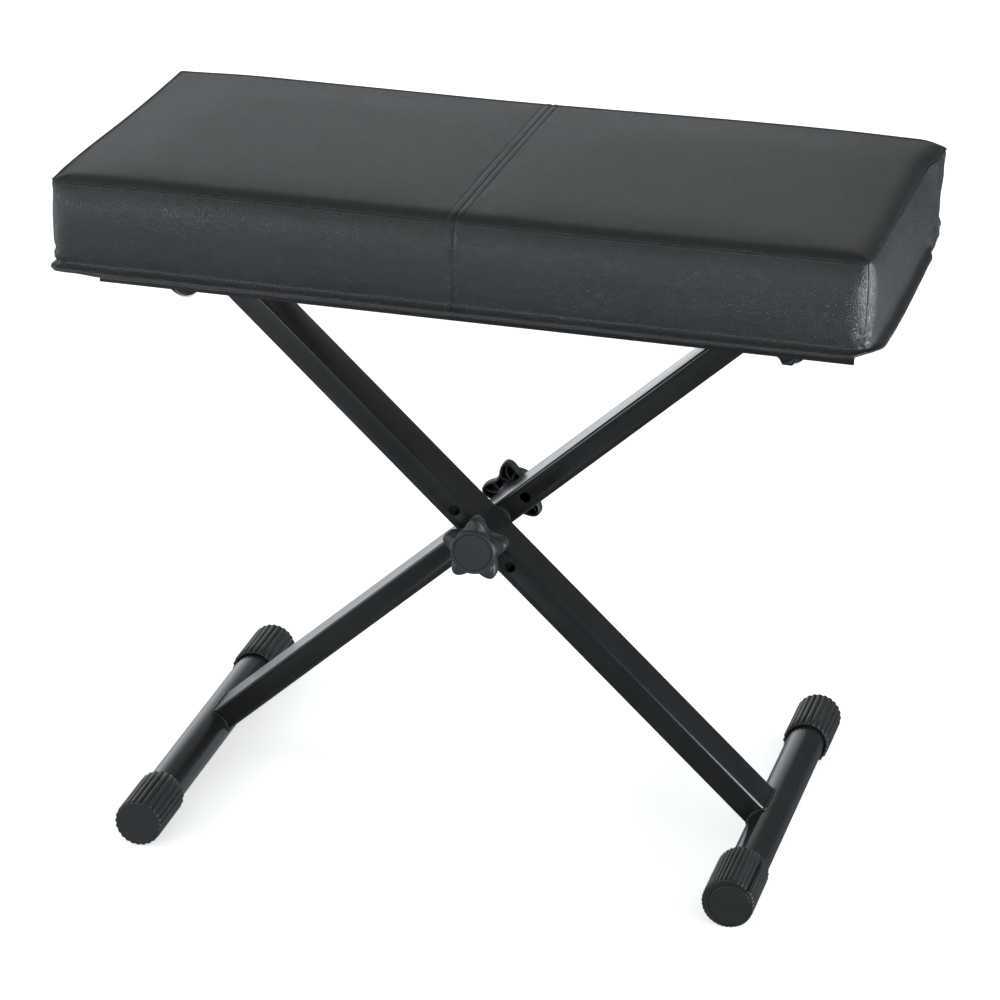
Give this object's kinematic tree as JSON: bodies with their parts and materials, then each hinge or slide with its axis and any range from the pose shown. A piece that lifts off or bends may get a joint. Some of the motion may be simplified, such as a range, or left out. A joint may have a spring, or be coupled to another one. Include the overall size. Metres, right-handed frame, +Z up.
{
  "type": "folding keyboard bench",
  "caption": "Padded bench seat on a folding steel cross frame, clamped by star knobs at the crossing, with ribbed rubber foot caps and a turning levelling cap.",
  "frame": {"origin": "on the floor under the middle of the bench, feet standing on Z = 0", "axes": "+X along the seat towards the levelling cap end, +Y from the front long side to the rear one, +Z up"},
  "size_m": [0.6138, 0.357, 0.5206],
  "materials": {
    "vinyl": "matt, fine pebble grain",
    "foam": "open cell foam",
    "plywood": "raw",
    "black_paint": "satin powder coat",
    "black_steel": "blackened",
    "zinc_steel": "zinc plated",
    "nylon": "natural",
    "dark_plastic": "fine matt texture",
    "rubber": "satin"
  },
  "bodies": {
    "seat": {"seat_cover": "vinyl", "seat_foam": "foam", "seat_board": "plywood", "rail_front": "black_paint", "rail_rear": "black_paint", "hinge_bracket_left": "black_paint", "hook_bracket_right": "black_paint", "rail_screw_front_1": "zinc_steel", "rail_screw_front_2": "zinc_steel", "rail_screw_front_3": "zinc_steel", "rail_screw_rear_1": "zinc_steel", "rail_screw_rear_2": "zinc_steel", "rail_screw_rear_3": "zinc_steel", "bracket_screw_left_1": "zinc_steel", "bracket_screw_left_2": "zinc_steel", "bracket_screw_right_1": "zinc_steel", "bracket_screw_right_2": "zinc_steel", "hinge_bolt_left": "black_steel", "hinge_washer_left": "zinc_steel", "hinge_nut_left": "black_steel"},
    "front_leg_frame": {"leg_front": "black_paint", "foot_tube_right": "black_paint", "foot_cap_right_rear": "rubber", "crossbar_left": "black_paint", "bush_left_front": "nylon", "bush_left_rear": "nylon", "clamp_washer_front": "zinc_steel", "leg_spacer": "dark_plastic"},
    "rear_leg_frame": {"leg_rear": "black_paint", "foot_tube_left": "black_paint", "foot_cap_left_front": "rubber", "foot_cap_left_rear": "rubber", "crossbar_right": "black_paint", "bush_right_front": "nylon", "bush_right_rear": "nylon", "hinge_bolt_right": "black_steel", "hinge_washer_right": "zinc_steel", "hinge_nut_right": "black_steel", "clamp_washer_rear": "zinc_steel"},
    "levelling_cap": {"levelling_cap": "rubber"},
    "front_knob": {"knob_front": "dark_plastic", "knob_disc_front": "dark_plastic", "knob_nut": "zinc_steel"},
    "rear_knob": {"knob_rear": "dark_plastic", "knob_disc_rear": "dark_plastic", "centre_bolt": "black_steel"}
  },
  "joints": [
    {"name": "seat_hinge", "type": "hinge", "parent": "seat", "child": "front_leg_frame", "pos_m": [-0.2335, 0, 0.41433], "axis": [0, 1, 0], "range_deg": [-37, 0]},
    {"name": "frame_fold", "type": "hinge", "parent": "front_leg_frame", "child": "rear_leg_frame", "pos_m": [0, 0, 0.22956], "axis": [0, 1, 0], "range_deg": [0, 74]},
    {"name": "levelling_turn", "type": "hinge", "parent": "front_leg_frame", "child": "levelling_cap", "pos_m": [0.23114, -0.15, 0.0185], "axis": [0, 1, 0], "continuous": true},
    {"name": "front_knob_turn", "type": "hinge", "parent": "front_leg_frame", "child": "front_knob", "pos_m": [0, -0.057, 0.22956], "axis": [0, -1, 0], "continuous": true},
    {"name": "rear_knob_turn", "type": "hinge", "parent": "rear_leg_frame", "child": "rear_knob", "pos_m": [0, 0.057, 0.22956], "axis": [0, 1, 0], "continuous": true}
  ],
  "couplings": [
    {"joint": "seat_hinge", "follows": "frame_fold", "ratio": -0.5}
  ]
}
